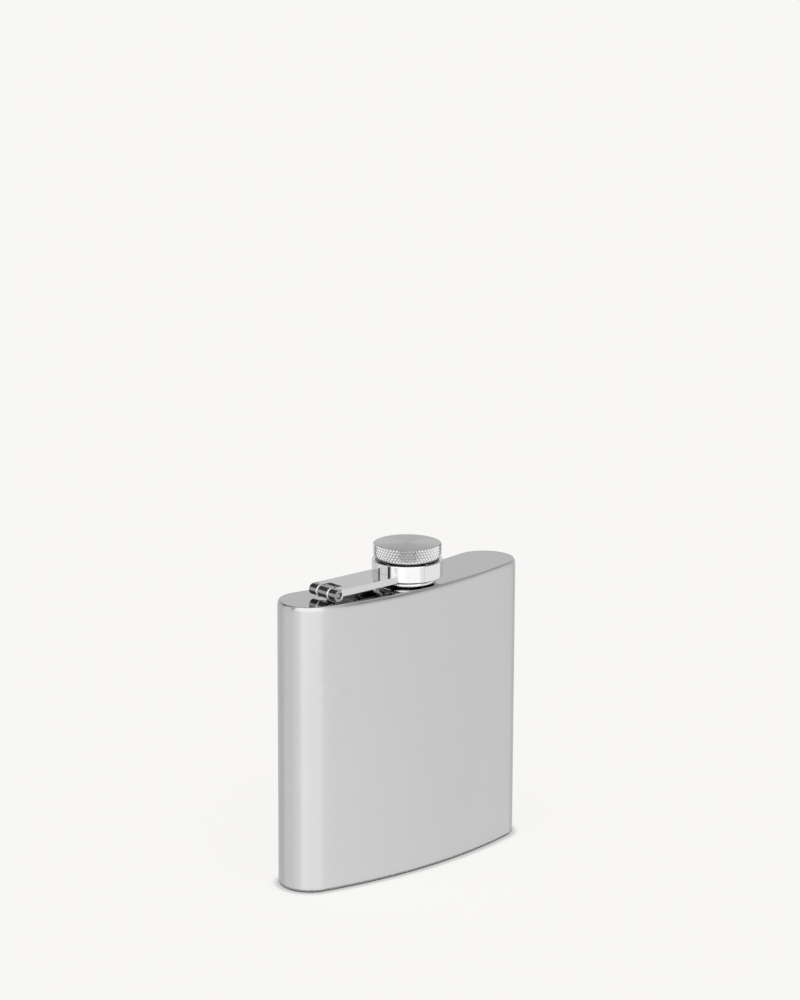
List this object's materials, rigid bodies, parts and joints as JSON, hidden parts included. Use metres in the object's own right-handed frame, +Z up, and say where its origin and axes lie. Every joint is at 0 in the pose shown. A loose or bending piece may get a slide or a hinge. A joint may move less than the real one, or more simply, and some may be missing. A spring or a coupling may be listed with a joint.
{
  "type": "hip flask",
  "caption": "Slim curved steel hip flask with a knurled screw cap held captive in the ring of a hinged arm; the arm swings over and the cap screws onto a threaded neck.",
  "frame": {"origin": "centre of the bounding box at the base, on the surface the flask stands on", "axes": "+Z up along the flask's height, +X along its width away from the hinge, -Y out of the convex front"},
  "size_m": [0.093, 0.0248, 0.104],
  "materials": {
    "brushed_steel": "fine horizontal satin brushing",
    "polished_panel": "semi-polished",
    "polished_steel": "mirror polished",
    "dark_steel": "polished",
    "satin_steel": "satin, knurled rim",
    "silicone": "matte",
    "white_plastic": "matte"
  },
  "bodies": {
    "flask": {"body_shell": "brushed_steel", "top_panel": "polished_panel", "base_panel": "brushed_steel", "neck": "polished_steel", "hinge_bracket": "dark_steel", "hinge_pin": "polished_steel", "hinge_washer_front": "polished_steel", "hinge_washer_back": "polished_steel"},
    "arm": {"arm": "polished_panel", "collar": "polished_steel"},
    "cap_carrier": {"slip_washer": "white_plastic"},
    "cap": {"cap_head": "satin_steel", "cap_sleeve": "polished_steel", "cap_gasket": "silicone", "retaining_ring": "polished_steel"}
  },
  "joints": [
    {"name": "arm_swing", "type": "hinge", "parent": "flask", "child": "arm", "pos_m": [-0.0333, -0.00136, 0.0942], "axis": [0, -1, 0], "range_deg": [0, 180]},
    {"name": "cap_lift", "type": "slide", "parent": "arm", "child": "cap_carrier", "axis": [0, 0, 1], "range_m": [0, 0.00225]},
    {"name": "cap_turn", "type": "hinge", "parent": "cap_carrier", "child": "cap", "pos_m": [0, -0.00136, 0.0995], "axis": [0, 0, 1], "range_deg": [0, 540]}
  ],
  "couplings": [
    {"joint": "cap_lift", "follows": "cap_turn", "m_per_rad": 0.0002387}
  ]
}
